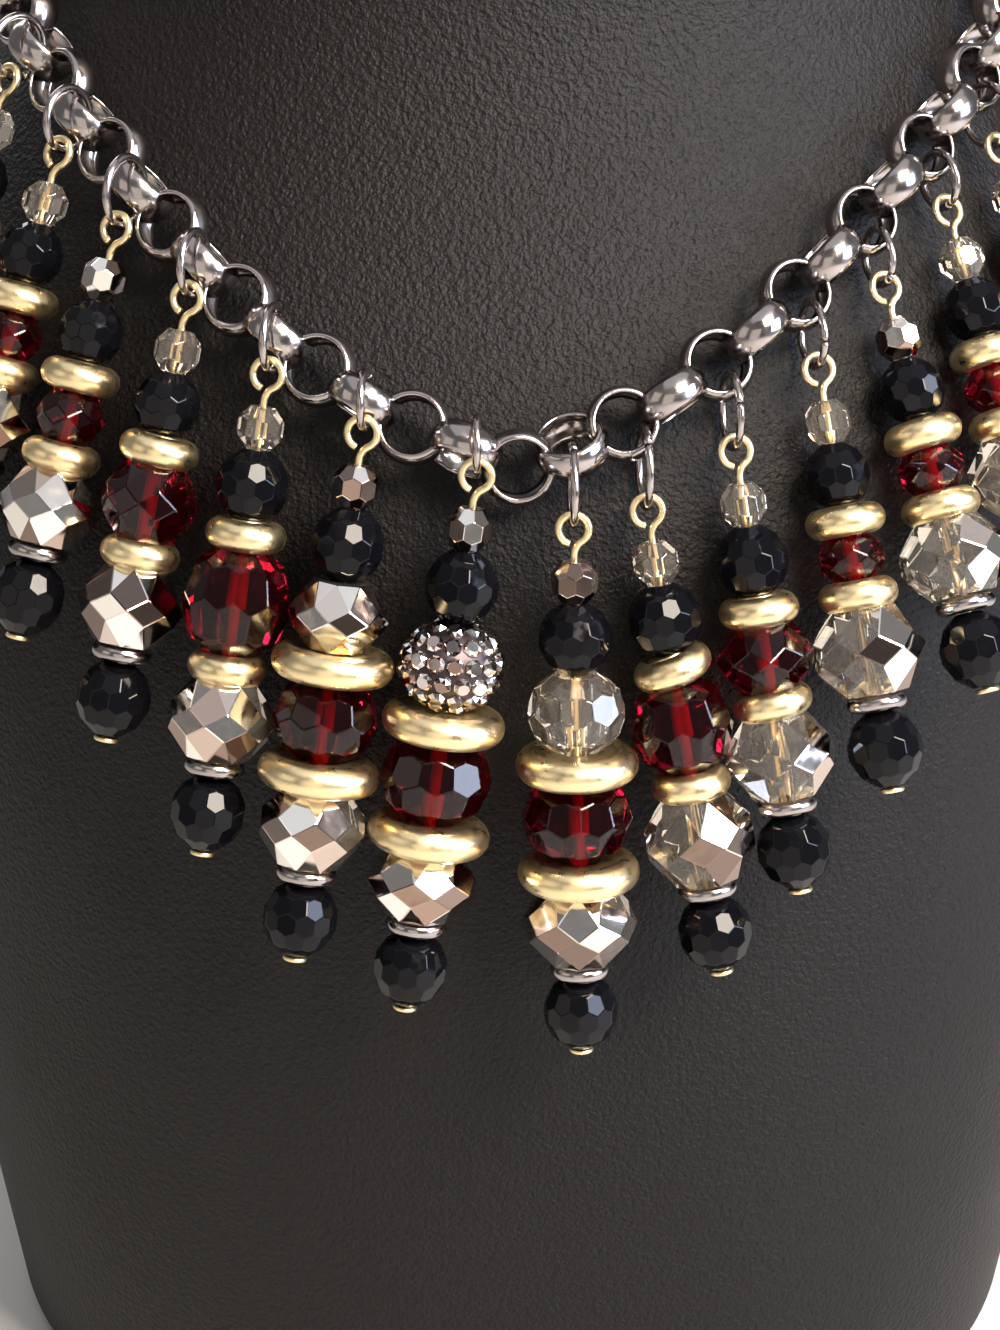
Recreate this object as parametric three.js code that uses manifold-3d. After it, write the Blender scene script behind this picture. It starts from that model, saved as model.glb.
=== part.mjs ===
// Bib necklace: fifteen head-pin drops of faceted beads on a rolo chain, worn by a plain neck bust.
// Millimetres, +Z up. The viewer stands at -Y; the origin is the centre of the bust's flat base.
import * as THREE from 'three';
import { mergeVertices } from 'three/addons/utils/BufferGeometryUtils.js';
import Module from 'manifold-3d';

const wasm = await Module();
wasm.setup();

// ---------------------------------------------------------------- driving dimensions

const GAP = 0.3; // clearance kept between separate pieces

const LINK_COUNT = 72; // chain places round the whole loop, clasp included
const LINK_OUTER = 4.0; // outer radius of a domed link
const LINK_WALL = 1.1; // thickness of its band at the middle
const LINK_WIDTH = 2.4; // width of its band
const LINK_SIDES = 8;
const LINK_SIDES_BEHIND = 6; // for the links past the shoulders
const LINKS_IN_FRONT = 10; // links each side of the front that are drawn in full
const LOOSE_ROLLS = new Map([[-2, -15], [-1, 15], [0, 45]]); // link and extra roll, degrees
const CHAIN_STANDOFF = 4.8; // chain centre line above the bust
const CHAIN_START = 0.4; // the link numbered -1 hangs this far right of the lowest point
const CLASP_PLACES = 2; // chain places that the clasp takes up at the nape
const CLASP = { width: 5.4, thickness: 3.2 };

const RING_RADIUS = 3.1; // jump ring, centre line, where a drop has no ring size of its own
const RING_WIRE = 0.4; // its wire's radius
// How far the centre of a ring of that radius sits below the band it holds, where it holds the link's
// front or its foot.
const RING_SLACK = { front: 0.85, below: 1.25 };

const PIN_RADIUS = 0.4; // head-pin wire
const EYE_RADIUS = 1.55; // eye loop, centre line
const EYE_STRETCH = 1.4; // the eye is longer than wide
const EYE_TO_BEAD = 4.9; // eye centre to the centre of the first bead
const BEAD_BORE = PIN_RADIUS + GAP;
const HEAD = { radius: 1.3, height: 0.6 };
const BEAD_SIDES = 8;
const BUST_CLEARANCE = 0.5; // least gap between a bead and the bust

// The bust in level sections: half width, reach to the front and back, and how square each one is.
const BUST_SECTIONS = [
  { height: 0, halfWidth: 66, front: 68, back: 50, squareness: 2.3 },
  { height: 25, halfWidth: 70, front: 71, back: 52, squareness: 2.3 },
  { height: 50, halfWidth: 74, front: 73.5, back: 54, squareness: 2.25 },
  { height: 75, halfWidth: 78, front: 75, back: 55, squareness: 2.2 },
  { height: 100, halfWidth: 81, front: 75.6, back: 55.5, squareness: 2.15 },
  { height: 112, halfWidth: 82, front: 75.2, back: 55.5, squareness: 2.1 },
  { height: 122, halfWidth: 82, front: 73.6, back: 55.5, squareness: 2.1 },
  { height: 131, halfWidth: 80.5, front: 70.3, back: 55, squareness: 2.1 },
  { height: 140, halfWidth: 77, front: 65.5, back: 54, squareness: 2.1 },
  { height: 150, halfWidth: 71.5, front: 60, back: 53, squareness: 2.05 },
  { height: 160, halfWidth: 65, front: 55, back: 52, squareness: 2.05 },
  { height: 172, halfWidth: 59, front: 51, back: 51, squareness: 2 },
  { height: 186, halfWidth: 56, front: 49, back: 50.5, squareness: 2 },
  { height: 204, halfWidth: 55, front: 48.5, back: 50, squareness: 2 },
  { height: 226, halfWidth: 55, front: 48.5, back: 50, squareness: 2 },
];
const BUST_SIDES = 28;
const BUST_RINGS = 15;

// The chain's height on the bust at each turn from the front, alike on both sides.
const CHAIN_ROUTE = [
  { turn: 0, height: 129.3 },
  { turn: 12, height: 134.6 },
  { turn: 24, height: 142.8 },
  { turn: 36, height: 151.9 },
  { turn: 50, height: 161.4 },
  { turn: 70, height: 173.2 },
  { turn: 100, height: 183 },
  { turn: 135, height: 191 },
  { turn: 180, height: 195 },
];

// Bead sizes, [width, height], shared by all drops unless a row gives its own.
const SMALL = [4.4, 4.2];
const BLACK_TOP = [7.6, 7.2];
const BLACK_END = [7.8, 7.6];
const SPACER = [6.4, 1.5];
const DISC = [8.4, 2.4];
const WIDE_DISC = [12.8, 2.6];

// The drops from left to right. link: the chain link that carries it; sway: its tilt to the right,
// degrees; shift: its ring's place right of the link's middle, mm; ring: the ring's radius; stack: the
// beads from the top down.
const small = ['small_bead', ...SMALL];
const blackTop = ['black_bead', ...BLACK_TOP];
const blackMid = ['black_bead', 6.8, 6.5];
const disc = ['gold_disc', ...DISC];
const wideDisc = ['gold_disc', ...WIDE_DISC];
const spacer = ['spacer', ...SPACER];
const blackEnd = ['black_bead', ...BLACK_END];
const red = (width, height) => ['red_bead', width, height];
const rondelle = (width, height) => ['rondelle', width, height];
const DROPS = [
  { link: -14, sway: -1, shift: 0.4,
    stack: [small, blackMid, disc, red(7, 5), disc, rondelle(10.4, 7.6), spacer, blackEnd] },
  { link: -12, sway: -3, shift: 0.8,
    stack: [small, blackMid, disc, red(7, 5), disc, rondelle(10.4, 7.6), spacer, blackEnd] },
  { link: -10, sway: -6.5, shift: 0.5, ring: 3.4,
    stack: [small, blackMid, disc, red(7.2, 5.6), disc, rondelle(10.6, 7.8), spacer, blackEnd] },
  { link: -8, sway: -6, shift: 0.6,
    stack: [small, blackMid, disc, red(10, 8), disc, rondelle(10.8, 8), spacer, blackEnd] },
  { link: -6, sway: -5.6, shift: 0.7,
    stack: [small, blackTop, disc, red(11.4, 11), disc, rondelle(11.2, 8), spacer, blackEnd] },
  { link: -4, sway: -6.5, shift: 0.8, ring: 2.7,
    stack: [small, blackTop, rondelle(10.2, 7), wideDisc, red(11, 8.4), wideDisc, rondelle(11.2, 8.2),
      spacer, blackEnd] },
  { link: -2, sway: -7.5, shift: 1.15, ring: 2.6,
    stack: [small, blackTop, ['pave_ball', 10.4, 9], wideDisc, red(11.6, 8.8), wideDisc,
      rondelle(11.4, 7.4), spacer, blackEnd] },
  { link: 0, sway: 1, shift: -1, ring: 3.8,
    stack: [small, blackTop, rondelle(10.2, 8), wideDisc, red(11.8, 8.6), wideDisc, rondelle(11.8, 8.2),
      spacer, blackEnd] },
  { link: 1, sway: 8.8, shift: 0.6, ring: 3.8,
    stack: [small, blackTop, disc, red(10.8, 9.6), disc, rondelle(11.8, 9), spacer, blackEnd] },
  { link: 3, sway: 6.7, shift: -0.9, ring: 3.6,
    stack: [small, blackTop, disc, red(10, 6.8), disc, rondelle(11.4, 8.4), spacer, blackEnd] },
  { link: 5, sway: 4.5, shift: -1,
    stack: [small, blackMid, disc, red(7, 4.8), disc, rondelle(11.8, 8.8), spacer, blackEnd] },
  { link: 7, sway: 4, shift: -1.2, ring: 2.7,
    stack: [small, blackMid, disc, red(7.2, 4.8), disc, rondelle(11.6, 8), spacer, blackEnd] },
  { link: 9, sway: -1, shift: -0.6, ring: 2.7,
    stack: [small, blackMid, disc, red(7.2, 4.8), disc, rondelle(11.6, 8), spacer, blackEnd] },
  { link: 11, sway: -4, shift: -0.8,
    stack: [small, blackMid, disc, red(7, 4.8), disc, rondelle(10.8, 7.6), spacer, blackEnd] },
  { link: 13, sway: -7, shift: -0.4,
    stack: [small, blackMid, disc, red(7, 4.8), disc, rondelle(10.4, 7.6), spacer, blackEnd] },
];
// The middle drops, counted from the left, keep every bead a piece of its own.
const LOOSE_DROPS = [7, 8, 9];

const MATERIALS = {
  leatherette: { color: 0x17161a, roughness: 0.6, metalness: 0 },
  gunmetal: { color: 0x6f6c70, roughness: 0.25, metalness: 1 },
  goldPlate: { color: 0xd9c27e, roughness: 0.22, metalness: 1 },
  jet: { color: 0x08080c, roughness: 0.08, metalness: 0 },
  garnet: { color: 0x5a0614, roughness: 0.05, metalness: 0 },
  crystal: { color: 0xcfc8bd, roughness: 0.05, metalness: 0 },
  pave: { color: 0x4a4044, roughness: 0.15, metalness: 0.6 },
};
const BEAD_MATERIAL = {
  small_bead: 'crystal',
  black_bead: 'jet',
  gold_disc: 'goldPlate',
  red_bead: 'garnet',
  rondelle: 'crystal',
  spacer: 'gunmetal',
  pave_ball: 'pave',
};

// How a bead's outline is cut: radius of its flat ends and half height of its girdle, as shares of
// its size.
const BEAD_SHAPE = {
  small_bead: { flat: 0.5, edge: 0.4 },
  black_bead: { flat: 0.5, edge: 0.4 },
  red_bead: { flat: 0.5, edge: 0.4 },
  pave_ball: { flat: 0.5, edge: 0.4 },
  rondelle: { flat: 0.45, edge: 0.2 },
  gold_disc: { flat: 0.8, edge: 0.4 },
  spacer: { flat: 0.7, edge: 0.2 },
};

// ---------------------------------------------------------------- helpers

/** Smooth curve through the rows of a table: Hermite pieces whose slopes come from the neighbours. */
function smoothRows(rows, key, name, at) {
  const last = rows.length - 1;
  const slope = (i) => {
    const a = Math.max(i - 1, 0);
    const b = Math.min(i + 1, last);
    return (rows[b][name] - rows[a][name]) / (rows[b][key] - rows[a][key]);
  };
  let i = 0;
  while (i < last - 1 && rows[i + 1][key] <= at) i += 1;
  const span = rows[i + 1][key] - rows[i][key];
  const t = (at - rows[i][key]) / span;
  const ease = t * t * (3 - 2 * t);
  const rise = t * (1 - t) * (1 - t) * span * slope(i);
  const fall = t * t * (1 - t) * span * slope(i + 1);
  return rows[i][name] + ease * (rows[i + 1][name] - rows[i][name]) + rise - fall;
}

function signedVolume(geometry) {
  const p = geometry.attributes.position;
  const order = geometry.index.array;
  const [a, b, c] = [new THREE.Vector3(), new THREE.Vector3(), new THREE.Vector3()];
  let sum = 0;
  for (let i = 0; i < order.length; i += 3) {
    a.fromBufferAttribute(p, order[i]);
    b.fromBufferAttribute(p, order[i + 1]);
    c.fromBufferAttribute(p, order[i + 2]);
    sum += a.dot(b.cross(c)) / 6;
  }
  return sum;
}

/** Position-only geometry with shared vertices merged, flat triangles dropped and faces outwards. */
function closedGeometry(source) {
  const bare = source.clone();
  bare.deleteAttribute('normal');
  bare.deleteAttribute('uv');
  const geometry = mergeVertices(bare, 1e-4);
  const order = [];
  for (let i = 0; i < geometry.index.count; i += 3) {
    const [a, b, c] = [0, 1, 2].map((k) => geometry.index.getX(i + k));
    if (a !== b && b !== c && c !== a) order.push(a, b, c);
  }
  geometry.setIndex(order);
  if (signedVolume(geometry) < 0) {
    for (let i = 0; i < order.length; i += 3) [order[i + 1], order[i + 2]] = [order[i + 2], order[i + 1]];
    geometry.setIndex(order);
  }
  return geometry;
}

function toManifold(geometry) {
  return new wasm.Manifold(new wasm.Mesh({
    numProp: 3,
    vertProperties: new Float32Array(geometry.attributes.position.array),
    triVerts: new Uint32Array(geometry.index.array),
  }));
}

/** Union of several closed geometries as one. */
function fuse(geometries) {
  const joined = geometries.map(toManifold).reduce((whole, next) => whole.add(next));
  const { vertProperties, triVerts } = joined.getMesh();
  const geometry = new THREE.BufferGeometry();
  geometry.setAttribute('position', new THREE.BufferAttribute(new Float32Array(vertProperties), 3));
  geometry.setIndex(new THREE.BufferAttribute(new Uint32Array(triVerts), 1));
  return geometry;
}

/** A frame whose Y axis is `up` and whose Z axis lies as near to `facing` as it can. */
function frameAt(origin, up, facing) {
  const y = up.clone().normalize();
  const x = y.clone().cross(facing).normalize();
  const z = x.clone().cross(y);
  return new THREE.Matrix4().makeBasis(x, y, z).setPosition(origin);
}

const necklace = new THREE.Group();

function addPiece(name, geometry, material, frame = new THREE.Matrix4(), parent = necklace) {
  const mesh = new THREE.Mesh(geometry, new THREE.MeshStandardMaterial(MATERIALS[material]));
  mesh.name = name;
  mesh.applyMatrix4(frame);
  parent.add(mesh);
}

const alongLine = (from, direction, distance) => from.clone().addScaledVector(direction, distance);
const numbered = (n) => String(n).padStart(2, '0');

// ---------------------------------------------------------------- bust

/** Point of the bust at a turn (radians, 0 at the front, + to the right) and height. */
function bustPoint(turn, height) {
  const row = (name) => smoothRows(BUST_SECTIONS, 'height', name, height);
  const side = Math.sin(turn);
  const ahead = Math.cos(turn);
  const reach = ahead > 0 ? row('front') : row('back');
  const power = row('squareness');
  const radius = (Math.abs(side / row('halfWidth')) ** power + Math.abs(ahead / reach) ** power)
    ** (-1 / power);
  return new THREE.Vector3(radius * side, -radius * ahead, height);
}

function bustNormal(turn, height) {
  const step = 0.01;
  const across = bustPoint(turn + step, height).sub(bustPoint(turn - step, height));
  const upward = bustPoint(turn, height + step * 50).sub(bustPoint(turn, height - step * 50));
  return across.cross(upward).normalize();
}

/** Skin of the bust through level rings, closed by flat fans at the base and the top of the neck. */
function bustGeometry() {
  const top = BUST_SECTIONS[BUST_SECTIONS.length - 1].height;
  const position = [];
  const order = [];
  for (let ring = 0; ring < BUST_RINGS; ring += 1) {
    for (let side = 0; side < BUST_SIDES; side += 1) {
      position.push(...bustPoint((2 * Math.PI * side) / BUST_SIDES, (top * ring) / (BUST_RINGS - 1)));
    }
  }
  position.push(0, 0, 0, 0, 0, top);
  const base = BUST_RINGS * BUST_SIDES;
  for (let side = 0; side < BUST_SIDES; side += 1) {
    const next = (side + 1) % BUST_SIDES;
    const lid = base - BUST_SIDES;
    order.push(base, next, side, base + 1, lid + side, lid + next);
    for (let ring = 0; ring < BUST_RINGS - 1; ring += 1) {
      const low = ring * BUST_SIDES;
      const high = low + BUST_SIDES;
      order.push(low + side, low + next, high + next, low + side, high + next, high + side);
    }
  }
  const geometry = new THREE.BufferGeometry();
  geometry.setAttribute('position', new THREE.Float32BufferAttribute(position, 3));
  geometry.setIndex(order);
  return closedGeometry(geometry);
}

/** Gap from a point near the front of the bust to its skin, measured along the skin's normal there. */
function gapToBust(point) {
  let turn = Math.atan2(point.x, -point.y);
  let height = point.z;
  for (let pass = 0; pass < 4; pass += 1) {
    const foot = bustPoint(turn, height);
    const normal = bustNormal(turn, height);
    const slide = point.clone().sub(foot);
    slide.addScaledVector(normal, -slide.dot(normal));
    const target = foot.add(slide);
    turn = Math.atan2(target.x, -target.y);
    height = target.z;
  }
  return point.clone().sub(bustPoint(turn, height)).dot(bustNormal(turn, height));
}

addPiece('neck_bust', bustGeometry(), 'leatherette');

// ---------------------------------------------------------------- chain

/** The chain's centre line, in equal steps of turn, with the length from the nape at each step. */
function chainLine() {
  const steps = 1440;
  const points = [];
  let length = 0;
  for (let i = 0; i <= steps; i += 1) {
    const turn = (2 * Math.PI * i) / steps - Math.PI;
    const degrees = Math.abs(THREE.MathUtils.radToDeg(turn));
    const height = smoothRows(CHAIN_ROUTE, 'turn', 'height', degrees);
    const normal = bustNormal(turn, height);
    const place = alongLine(bustPoint(turn, height), normal, CHAIN_STANDOFF);
    if (i > 0) length += place.distanceTo(points[i - 1].place);
    points.push({ place, normal, length });
  }
  return points;
}

const line = chainLine();
const loopLength = line[line.length - 1].length;
const pitch = loopLength / LINK_COUNT;

/** Where the chain is at a signed distance from its lowest point: place, tangent and bust normal. */
function chainAt(distance) {
  const wanted = THREE.MathUtils.euclideanModulo(distance + loopLength / 2, loopLength);
  let i = 1;
  while (i < line.length - 1 && line[i].length < wanted) i += 1;
  const [a, b] = [line[i - 1], line[i]];
  const t = (wanted - a.length) / (b.length - a.length);
  return {
    place: a.place.clone().lerp(b.place, t),
    tangent: b.place.clone().sub(a.place).normalize(),
    normal: a.normal.clone().lerp(b.normal, t).normalize(),
  };
}

const linkDistance = (link) => CHAIN_START + (link + 1) * pitch;

/** Roll of a link about the chain: flat and edge-on by turns, but for the few that hang loose. */
function linkRoll(link) {
  return THREE.MathUtils.degToRad(90 * (link + 1) + (LOOSE_ROLLS.get(link) ?? 0));
}

/** Band of a link: a closed profile turned about the link's own axis. */
function linkGeometry(sides) {
  const inner = LINK_OUTER - LINK_WALL;
  const half = LINK_WIDTH / 2;
  const profile = [[inner, -half], [LINK_OUTER, -half], [LINK_OUTER, half], [inner, half], [inner, -half]];
  return closedGeometry(new THREE.LatheGeometry(profile.map(([x, y]) => new THREE.Vector2(x, y)), sides));
}

function linkFrame(link) {
  const { place, tangent, normal } = chainAt(linkDistance(link));
  const sideways = tangent.clone().cross(normal);
  const roll = linkRoll(link);
  const axis = normal.clone().multiplyScalar(Math.cos(roll)).addScaledVector(sideways, Math.sin(roll));
  return frameAt(place, axis, tangent);
}

const lastLink = LINK_COUNT / 2 - CLASP_PLACES;
const links = [];
for (let link = 1 - LINK_COUNT / 2; link <= lastLink; link += 1) {
  const sides = Math.abs(link) > LINKS_IN_FRONT ? LINK_SIDES_BEHIND : LINK_SIDES;
  links.push(linkGeometry(sides).applyMatrix4(linkFrame(link)));
}
addPiece('chain', fuse(links), 'gunmetal');

/** The fastening at the nape: one plain rounded bar between the chain's two ends. */
function addClasp() {
  const first = linkDistance(1 - LINK_COUNT / 2) + loopLength;
  const { place, tangent, normal } = chainAt((linkDistance(lastLink) + first) / 2);
  const length = first - linkDistance(lastLink) - 2 * (LINK_OUTER + 2 * GAP);
  const bar = new THREE.CylinderGeometry(CLASP.width / 2, CLASP.width / 2, length, 12);
  const taper = new THREE.Matrix4().makeScale(1, 1, CLASP.thickness / CLASP.width);
  addPiece('clasp', closedGeometry(bar).applyMatrix4(taper), 'gunmetal', frameAt(place, tangent, normal));
}
addClasp();

// ---------------------------------------------------------------- drops

/** Half outline of a bead as [radius, height] pairs from its bottom to its top. */
function beadOutline(kind, width, height) {
  const { flat, edge } = BEAD_SHAPE[kind];
  const w = width / 2;
  const h = height / 2;
  return [[w * flat, -h], [w, -h * edge], [w, h * edge], [w * flat, h]];
}

/** A single bead with its hole: its outline closed down the bore. */
function beadGeometry(kind, width, height) {
  const profile = [[BEAD_BORE, -height / 2], ...beadOutline(kind, width, height), [BEAD_BORE, height / 2]];
  profile.push(profile[0]);
  const points = profile.map(([x, y]) => new THREE.Vector2(x, y));
  return closedGeometry(new THREE.LatheGeometry(points, BEAD_SIDES));
}

/** Heights of the beads' centres along the pin, measured down from the eye, and of the pin's end. */
function stackPlaces(stack) {
  let at = EYE_TO_BEAD - stack[0][2] / 2;
  const places = stack.map(([, , height]) => {
    const centre = at + height / 2;
    at += height + GAP;
    return centre;
  });
  return { places, end: at };
}

/** Eye loop: a ring in the drop's own X-Y plane, a little longer than wide, centred on the origin. */
function eyeGeometry() {
  const loop = new THREE.TorusGeometry(EYE_RADIUS, PIN_RADIUS, 4, 8);
  return closedGeometry(loop).applyMatrix4(new THREE.Matrix4().makeScale(1, EYE_STRETCH, 1));
}

/** Turned outline from pairs given from the bottom up, closed on the axis at both ends. */
function turned(pairs, sides) {
  const bottom = pairs[0][1];
  const top = pairs[pairs.length - 1][1];
  const points = [[0, bottom], ...pairs, [0, top]].map(([x, y]) => new THREE.Vector2(x, y));
  return closedGeometry(new THREE.LatheGeometry(points, sides));
}

const eyeFoot = EYE_RADIUS * EYE_STRETCH; // the pin leaves the eye here

/** The bare head pin: eye, wire and head. */
function pinGeometry(end) {
  const wire = turned([[HEAD.radius, -end - HEAD.height], [HEAD.radius, -end], [PIN_RADIUS, -end],
    [PIN_RADIUS, -eyeFoot]], 6);
  return fuse([eyeGeometry(), wire]);
}

/** A whole drop as one solid: its beads strung on the pin, widths kept and bores filled. */
function dropGeometry(stack, places, end) {
  const pairs = [[HEAD.radius, -end - HEAD.height], [HEAD.radius, -end]];
  for (let i = stack.length - 1; i >= 0; i -= 1) {
    const [kind, width, height] = stack[i];
    pairs.push(...beadOutline(kind, width, height).map(([radius, y]) => [radius, y - places[i]]));
  }
  pairs.push([PIN_RADIUS, -places[0] + stack[0][2] / 2], [PIN_RADIUS, -eyeFoot]);
  return fuse([eyeGeometry(), turned(pairs, BEAD_SIDES)]);
}

/** A drop's jump ring: its centre, its axis and the lowest point of its wire. */
function ringPlace({ link, shift, ring = RING_RADIUS }) {
  const { place, tangent, normal } = chainAt(linkDistance(link) + shift);
  const down = new THREE.Vector3(0, 0, -1);
  const alongBust = down.clone().addScaledVector(normal, -down.dot(normal)).normalize();
  const roll = linkRoll(link);
  const spoke = tangent.clone().cross(normal).multiplyScalar(Math.cos(roll));
  spoke.addScaledVector(normal, -Math.sin(roll)).normalize();
  if (spoke.dot(normal) + spoke.dot(alongBust) < 0) spoke.negate();
  const slack = RING_SLACK.front + (RING_SLACK.below - RING_SLACK.front) * Math.abs(spoke.dot(alongBust))
    + ring - RING_RADIUS;
  const centre = alongLine(alongLine(place, spoke, LINK_OUTER - LINK_WALL / 2), alongBust, slack);
  const axis = alongBust.clone().cross(normal).normalize();
  return { centre, axis, radius: ring, foot: alongLine(centre, alongBust, ring), normal };
}

// The eye's centre hangs this far below the ring's wire.
const hangSlack = EYE_RADIUS * EYE_STRETCH - PIN_RADIUS - RING_WIRE - GAP;

/** Direction of a drop that sways sideways and leans just far enough away from the bust to clear it. */
function dropDirection(start, outward, sway, stack, places) {
  const level = outward.clone().setZ(0).normalize();
  for (let lean = 2; lean < 80; lean += 0.25) {
    const forward = THREE.MathUtils.degToRad(lean);
    const direction = level.clone().multiplyScalar(Math.sin(forward));
    direction.z = -Math.cos(forward);
    direction.x += Math.tan(THREE.MathUtils.degToRad(sway)) * Math.cos(forward);
    direction.normalize();
    const clear = stack.every(([, width, height], i) => {
      const gap = gapToBust(alongLine(start, direction, places[i]));
      return gap > Math.max(width, height) / 2 + BUST_CLEARANCE;
    });
    if (clear) return direction;
  }
  throw new Error('a drop cannot clear the bust');
}

function addDrop(drop, number) {
  const label = numbered(number);
  const { centre, axis, radius, foot, normal } = ringPlace(drop);
  const ring = closedGeometry(new THREE.TorusGeometry(radius, RING_WIRE, 4, 12));
  addPiece(`jump_ring_${label}`, ring, 'gunmetal', frameAt(centre, centre.clone().sub(foot), axis));
  const { places, end } = stackPlaces(drop.stack);
  const direction = dropDirection(foot, normal, drop.sway, drop.stack, places);
  const frame = frameAt(alongLine(foot, direction, hangSlack), direction.clone().negate(), normal);
  if (!LOOSE_DROPS.includes(number)) {
    addPiece(`drop_${label}`, dropGeometry(drop.stack, places, end), 'jet', frame);
    return;
  }
  const group = new THREE.Group();
  group.applyMatrix4(frame);
  necklace.add(group);
  addPiece(`pin_${label}`, pinGeometry(end), 'goldPlate', new THREE.Matrix4(), group);
  drop.stack.forEach(([kind, width, height], i) => {
    const place = new THREE.Matrix4().makeTranslation(0, -places[i], 0);
    const name = `${kind}_${label}_${i + 1}`;
    addPiece(name, beadGeometry(kind, width, height), BEAD_MATERIAL[kind], place, group);
  });
}

DROPS.forEach((drop, i) => addDrop(drop, i + 1));

export default necklace;
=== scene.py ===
"""Bib necklace of faceted bead drops on a rolo chain, worn by a plain leatherette neck bust.

Lengths in the tables are millimetres; every mesh is in metres, +Z up, the viewer at -Y. The bust and the
chain's route follow the same tables as the construction model; rings, pins and drops are measured from it.
"""

import bpy
import numpy as np
from bpy.props import FloatProperty, FloatVectorProperty, IntProperty, PointerProperty
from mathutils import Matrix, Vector


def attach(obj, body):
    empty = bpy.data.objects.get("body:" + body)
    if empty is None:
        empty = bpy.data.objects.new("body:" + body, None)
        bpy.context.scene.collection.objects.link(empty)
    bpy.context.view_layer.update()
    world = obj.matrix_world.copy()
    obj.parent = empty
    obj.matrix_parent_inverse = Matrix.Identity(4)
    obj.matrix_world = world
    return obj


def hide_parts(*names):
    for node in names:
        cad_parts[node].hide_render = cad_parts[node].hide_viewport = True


bl_info = {
    "name": "Bib necklace on a neck bust",
    "version": (1, 0, 0),
    "blender": (4, 5, 0),
    "location": "View3D > Sidebar > Necklace",
    "description": "Makes a bib necklace of faceted bead drops, its rolo chain and the bust that wears it",
    "category": "Add Mesh",
}

MM = 0.001
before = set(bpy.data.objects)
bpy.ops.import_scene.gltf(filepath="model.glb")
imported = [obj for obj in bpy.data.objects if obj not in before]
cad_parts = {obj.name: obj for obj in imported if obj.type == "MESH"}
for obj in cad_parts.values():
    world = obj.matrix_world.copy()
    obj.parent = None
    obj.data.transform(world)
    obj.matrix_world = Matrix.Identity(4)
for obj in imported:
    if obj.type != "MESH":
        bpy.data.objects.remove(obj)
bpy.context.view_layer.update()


def linear(hex_colour):
    """An sRGB hex colour as linear red, green, blue and an alpha of 1."""
    value = np.array([int(hex_colour[i:i + 2], 16) for i in (1, 3, 5)]) / 255
    low = value / 12.92
    high = ((value + 0.055) / 1.055) ** 2.4
    return (*np.where(value <= 0.04045, low, high).tolist(), 1.0)


# ------------------------------------------------------------------ tables

# The bust in level sections: height, half width, reach to front and back, squareness of the oval.
BUST_SECTIONS = np.array([
    (0, 66, 68, 50, 2.3),
    (25, 70, 71, 52, 2.3),
    (50, 74, 73.5, 54, 2.25),
    (75, 78, 75, 55, 2.2),
    (100, 81, 75.6, 55.5, 2.15),
    (112, 82, 75.2, 55.5, 2.1),
    (122, 82, 73.6, 55.5, 2.1),
    (131, 80.5, 70.3, 55, 2.1),
    (140, 77, 65.5, 54, 2.1),
    (150, 71.5, 60, 53, 2.05),
    (160, 65, 55, 52, 2.05),
    (172, 59, 51, 51, 2.0),
    (186, 56, 49, 50.5, 2.0),
    (204, 55, 48.5, 50, 2.0),
    (226, 55, 48.5, 50, 2.0),
])
# The chain's height on the bust at each turn from the front, in degrees, alike on both sides.
CHAIN_ROUTE = np.array([
    (0, 129.3),
    (12, 134.6),
    (24, 142.8),
    (36, 151.9),
    (50, 161.4),
    (70, 173.2),
    (100, 183),
    (135, 191),
    (180, 195),
])
LINK_COUNT = 72
CLASP_PLACES = 2
CHAIN_STANDOFF = 4.8
CHAIN_START = 0.4  # link -1 lies this far right of the chain's lowest point
LOOSE_ROLLS = {-2: -15, -1: 15, 0: 45}  # links that hang askew, and by how many degrees

EYE_TO_BEAD = 4.9  # eye centre to the middle of the first bead
BEAD_GAP = 0.3  # left between beads in the construction model
GAP_TAKEN = 0.8  # the share of that gap by which every bead is taller here
HEAD_HEIGHT = 0.6  # of the construction model's pin heads
EYE_RADIUS = 1.55
EYE_STRETCH = 1.4  # the eye's height as a share of its width

# Kind, width and height of the beads and discs that come back in many drops.
SMALL = ("small_bead", 4.4, 4.2)
BLACK_TOP = ("black_bead", 7.6, 7.2)
BLACK_MID = ("black_bead", 6.8, 6.5)
BLACK_END = ("black_bead", 7.8, 7.6)
SPACER = ("spacer", 6.4, 1.5)
DISC = ("gold_disc", 8.4, 2.4)
WIDE_DISC = ("gold_disc", 12.8, 2.6)


def drop_row(small, rondelle, spin, red, last, black=BLACK_TOP, disc=DISC, upper=()):
    """One row of the table of drops.

    small and rondelle are finishes: clear, coated, painted_glint (the mirror coat on only the few facets that
    face front and right, towards the key light, as a painted glint) or half (coated on one side).
    spin is how many degrees the beads are turned on the pin. red and last are the width and height of the
    red bead and of the rondelle under it. upper holds a bead that comes before the first disc.
    """
    stack = [SMALL, black, *upper, disc, ("red_bead", *red), disc, ("rondelle", *last), SPACER, BLACK_END]
    return dict(small=small, rondelle=rondelle, spin=spin, stack=stack)


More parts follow.
